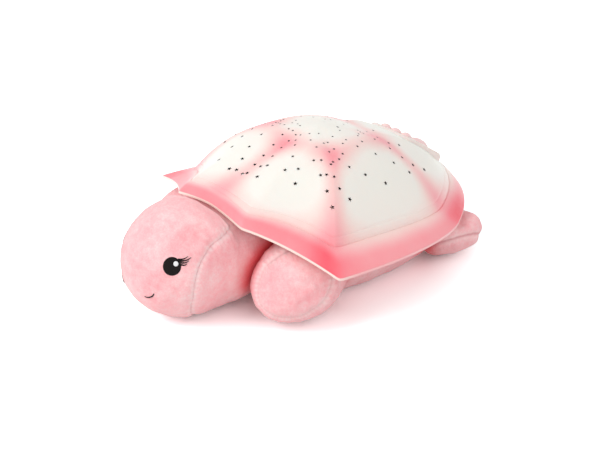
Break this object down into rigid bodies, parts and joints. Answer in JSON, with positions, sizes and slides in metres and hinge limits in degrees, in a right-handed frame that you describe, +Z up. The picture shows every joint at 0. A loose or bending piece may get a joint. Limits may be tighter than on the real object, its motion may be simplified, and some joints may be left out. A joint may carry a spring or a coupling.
{
  "type": "night light projector",
  "caption": "Stuffed turtle night light: moulded star-pierced shell over an inner lamp, sloping button pad on the back edge, battery casing behind a belly flap.",
  "frame": {"origin": "on the table, at the middle of the whole outline seen from above", "axes": "+Z up, the head looks along -Y, the turtle's left side is +X"},
  "size_m": [0.242, 0.35, 0.126],
  "materials": {
    "shell_plastic": "satin, airbrushed pink at the ridges",
    "pad_plastic": "satin",
    "button_plastic": "satin",
    "casing_plastic": "fine grain",
    "circuit_board": "lacquered",
    "lamp_board": "lacquered",
    "electronic_parts": "matt",
    "lamp_lens": "clear",
    "screw_steel": "zinc plated",
    "cell_jacket": "satin",
    "cable_jacket": "matt",
    "lead_jacket": "matt",
    "plush": "short pile",
    "hook_tape": "hooks and loops",
    "eye_thread": "satin stitch"
  },
  "bodies": {
    "turtle": {"shell": "shell_plastic", "control_pad": "pad_plastic", "button_board": "circuit_board", "button_switches": "electronic_parts", "casing_tray": "casing_plastic", "battery_door": "casing_plastic", "door_screw": "screw_steel", "battery_cells": "cell_jacket", "battery_contacts": "screw_steel", "main_board": "circuit_board", "board_parts": "electronic_parts", "lamp_post": "casing_plastic", "lamp_board": "lamp_board", "leds": "lamp_lens", "shell_screws": "screw_steel", "pad_screws": "screw_steel", "board_screws": "screw_steel", "lamp_screws": "screw_steel", "button_cable": "cable_jacket", "lamp_cable": "cable_jacket", "battery_leads": "lead_jacket", "plush_body": "plush", "loop_strip": "hook_tape", "head": "plush", "neck": "plush", "front_flipper_left": "plush", "front_flipper_right": "plush", "rear_flipper_left": "plush", "rear_flipper_right": "plush", "tail": "plush", "eye_left": "eye_thread", "eye_right": "eye_thread"},
    "power_key": {"power_button": "button_plastic"},
    "left_key": {"left_button": "button_plastic"},
    "middle_key": {"middle_button": "button_plastic"},
    "right_key": {"right_button": "button_plastic"},
    "flap": {"belly_flap": "plush", "hook_strip": "hook_tape"}
  },
  "joints": [
    {"name": "power_press", "type": "slide", "parent": "turtle", "child": "power_key", "axis": [0, -0.6439, -0.7651], "range_m": [0, 0.001], "stiffness_N_per_m": 600, "springref_m": -0.0003},
    {"name": "left_press", "type": "slide", "parent": "turtle", "child": "left_key", "axis": [0, -0.4988, -0.8667], "range_m": [0, 0.001], "stiffness_N_per_m": 600, "springref_m": -0.0003},
    {"name": "middle_press", "type": "slide", "parent": "turtle", "child": "middle_key", "axis": [0, -0.4988, -0.8667], "range_m": [0, 0.001], "stiffness_N_per_m": 600, "springref_m": -0.0003},
    {"name": "right_press", "type": "slide", "parent": "turtle", "child": "right_key", "axis": [0, -0.4988, -0.8667], "range_m": [0, 0.001], "stiffness_N_per_m": 600, "springref_m": -0.0003},
    {"name": "flap_hinge", "type": "hinge", "parent": "turtle", "child": "flap", "pos_m": [0, 0.0694, 0.0003], "axis": [1, 0, 0], "range_deg": [0, 120]}
  ]
}
